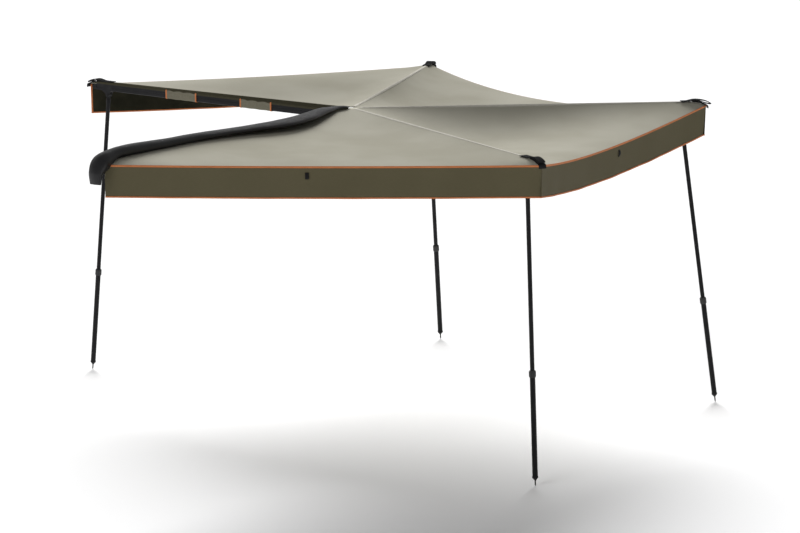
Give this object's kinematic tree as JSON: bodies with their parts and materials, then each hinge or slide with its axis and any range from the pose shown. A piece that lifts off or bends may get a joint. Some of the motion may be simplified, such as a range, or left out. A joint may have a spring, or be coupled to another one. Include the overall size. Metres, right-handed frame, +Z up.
{
  "type": "vehicle side awning",
  "caption": "Fold-out vehicle side awning that swings round the rear corner on a hub, with a canvas canopy, hanging valances and telescopic poles.",
  "frame": {"origin": "centre of the underside of the rear rack bracket foot", "axes": "+Z up, +X along the rail from its front end to the hub, -Y away from the vehicle side that the rail is on"},
  "size_m": [4.8178, 4.5475, 2.0762],
  "materials": {
    "black_aluminium": "black anodised, satin",
    "black_casting": "black powder coat, fine texture",
    "bright_steel": "zinc plated",
    "coated_steel": "black powder coat",
    "black_plastic": "matt moulded nylon",
    "canopy_canvas": "coated ripstop canvas, grey olive",
    "valance_canvas": "coated canvas, dark olive",
    "cover_vinyl": "glossy coated fabric, black",
    "black_webbing": "woven webbing",
    "orange_binding": "woven binding tape, burnt orange"
  },
  "bodies": {
    "root": {"back_rail": "black_aluminium", "hub_bracket": "black_casting", "hub_cap": "black_plastic", "pivot_pin_1": "bright_steel", "rack_bracket_front": "coated_steel", "rack_bracket_front_bolt_1": "bright_steel", "rack_bracket_front_bolt_2": "bright_steel", "rack_bracket_rear": "coated_steel", "rack_bracket_rear_bolt_1": "bright_steel", "rack_bracket_rear_bolt_2": "bright_steel", "rail_end_cap": "black_plastic", "travel_cover": "cover_vinyl"},
    "arm_1": {"arm_1_beam": "black_aluminium", "arm_1_root": "black_casting", "arm_1_tip": "black_casting", "corner_strap_1": "black_webbing", "canopy_panel_1": "canopy_canvas", "valance_1": "valance_canvas", "pivot_pin_2": "bright_steel"},
    "pole_1": {"pole_1_upper": "black_aluminium"},
    "leg_1": {"leg_1_tube": "black_aluminium", "leg_1_foot": "coated_steel"},
    "collar_1": {"collar_1": "black_plastic"},
    "arm_2": {"arm_2_beam": "black_aluminium", "arm_2_root": "black_casting", "arm_2_tip": "black_casting", "corner_strap_2": "black_webbing", "canopy_panel_2": "canopy_canvas", "valance_2": "valance_canvas", "pivot_pin_3": "bright_steel"},
    "pole_2": {"pole_2_upper": "black_aluminium"},
    "leg_2": {"leg_2_tube": "black_aluminium", "leg_2_foot": "coated_steel"},
    "collar_2": {"collar_2": "black_plastic"},
    "arm_3": {"arm_3_beam": "black_aluminium", "arm_3_root": "black_casting", "arm_3_tip": "black_casting", "corner_strap_3": "black_webbing", "canopy_panel_3": "canopy_canvas", "valance_3": "valance_canvas", "pivot_pin_4": "bright_steel"},
    "pole_3": {"pole_3_upper": "black_aluminium"},
    "leg_3": {"leg_3_tube": "black_aluminium", "leg_3_foot": "coated_steel"},
    "collar_3": {"collar_3": "black_plastic"},
    "arm_4": {"arm_4_beam": "black_aluminium", "arm_4_root": "black_casting", "arm_4_sleeve_1": "valance_canvas", "arm_4_sleeve_2": "valance_canvas", "arm_4_tip": "black_casting", "corner_strap_4": "black_webbing", "canopy_panel_4": "canopy_canvas", "valance_4": "valance_canvas"},
    "pole_4": {"pole_4_upper": "black_aluminium"},
    "leg_4": {"leg_4_tube": "black_aluminium", "leg_4_foot": "coated_steel"},
    "collar_4": {"collar_4": "black_plastic"}
  },
  "joints": [
    {"name": "arm_1_fold", "type": "hinge", "parent": "root", "child": "arm_1", "pos_m": [0.50959, -0.1023, 0.047], "axis": [0, 0, -1], "range_deg": [0, 67.5], "deforming": ["canopy_panel_1", "valance_1"]},
    {"name": "pole_1_fold", "type": "hinge", "parent": "arm_1", "child": "pole_1", "pos_m": [-0.27851, -2.0755, -0.007], "axis": [0.9239, -0.3827, 0], "range_deg": [-12.15, 92.85]},
    {"name": "leg_1_slide", "type": "slide", "parent": "pole_1", "child": "leg_1", "axis": [0.019, 0.0459, 0.9988], "range_m": [-0.06, 0.46]},
    {"name": "collar_1_twist", "type": "hinge", "parent": "leg_1", "child": "collar_1", "pos_m": [-0.30186, -2.13188, -1.23287], "axis": [0.019, 0.0459, 0.9988], "range_deg": [0, 90]},
    {"name": "arm_2_fold", "type": "hinge", "parent": "arm_1", "child": "arm_2", "pos_m": [0.55991, -0.12193, 0.047], "axis": [0, 0, -1], "range_deg": [0, 69], "deforming": ["canopy_panel_2", "valance_2"]},
    {"name": "pole_2_fold", "type": "hinge", "parent": "arm_2", "child": "pole_2", "pos_m": [2.12044, -1.56559, -0.007], "axis": [0.6884, 0.7254, 0], "range_deg": [-7.7, 97.3]},
    {"name": "leg_2_slide", "type": "slide", "parent": "pole_2", "child": "leg_2", "axis": [-0.0922, 0.0875, 0.9919], "range_m": [-0.06, 0.46]},
    {"name": "collar_2_twist", "type": "hinge", "parent": "leg_2", "child": "collar_2", "pos_m": [2.2348, -1.67411, -1.2377], "axis": [-0.0922, 0.0875, 0.9919], "range_deg": [0, 90]},
    {"name": "arm_3_fold", "type": "hinge", "parent": "arm_2", "child": "arm_3", "pos_m": [0.59762, -0.08327, 0.047], "axis": [0, 0, -1], "range_deg": [0, 68], "deforming": ["canopy_panel_3", "valance_3"]},
    {"name": "pole_3_fold", "type": "hinge", "parent": "arm_3", "child": "pole_3", "pos_m": [2.52007, 0.82251, -0.007], "axis": [-0.4147, 0.91, 0], "range_deg": [-3.8, 101.2]},
    {"name": "leg_3_slide", "type": "slide", "parent": "pole_3", "child": "leg_3", "axis": [-0.1767, -0.0805, 0.981], "range_m": [-0.06, 0.46]},
    {"name": "collar_3_twist", "type": "hinge", "parent": "leg_3", "child": "collar_3", "pos_m": [2.7432, 0.9242, -1.24539], "axis": [-0.1767, -0.0805, 0.981], "range_deg": [0, 90]},
    {"name": "arm_4_fold", "type": "hinge", "parent": "arm_3", "child": "arm_4", "pos_m": [0.57851, -0.03264, 0.047], "axis": [0, 0, -1], "range_deg": [0, 63.5], "deforming": ["canopy_panel_4", "valance_4"]},
    {"name": "pole_4_fold", "type": "hinge", "parent": "arm_4", "child": "pole_4", "pos_m": [0.62556, 2.08838, -0.007], "axis": [-0.9994, 0.0349, 0], "range_deg": [-9, 96]},
    {"name": "leg_4_slide", "type": "slide", "parent": "pole_4", "child": "leg_4", "axis": [-0.0036, -0.1045, 0.9945], "range_m": [-0.06, 0.46]},
    {"name": "collar_4_twist", "type": "hinge", "parent": "leg_4", "child": "collar_4", "pos_m": [0.63007, 2.21746, -1.23585], "axis": [-0.0036, -0.1045, 0.9945], "range_deg": [0, 90]}
  ]
}
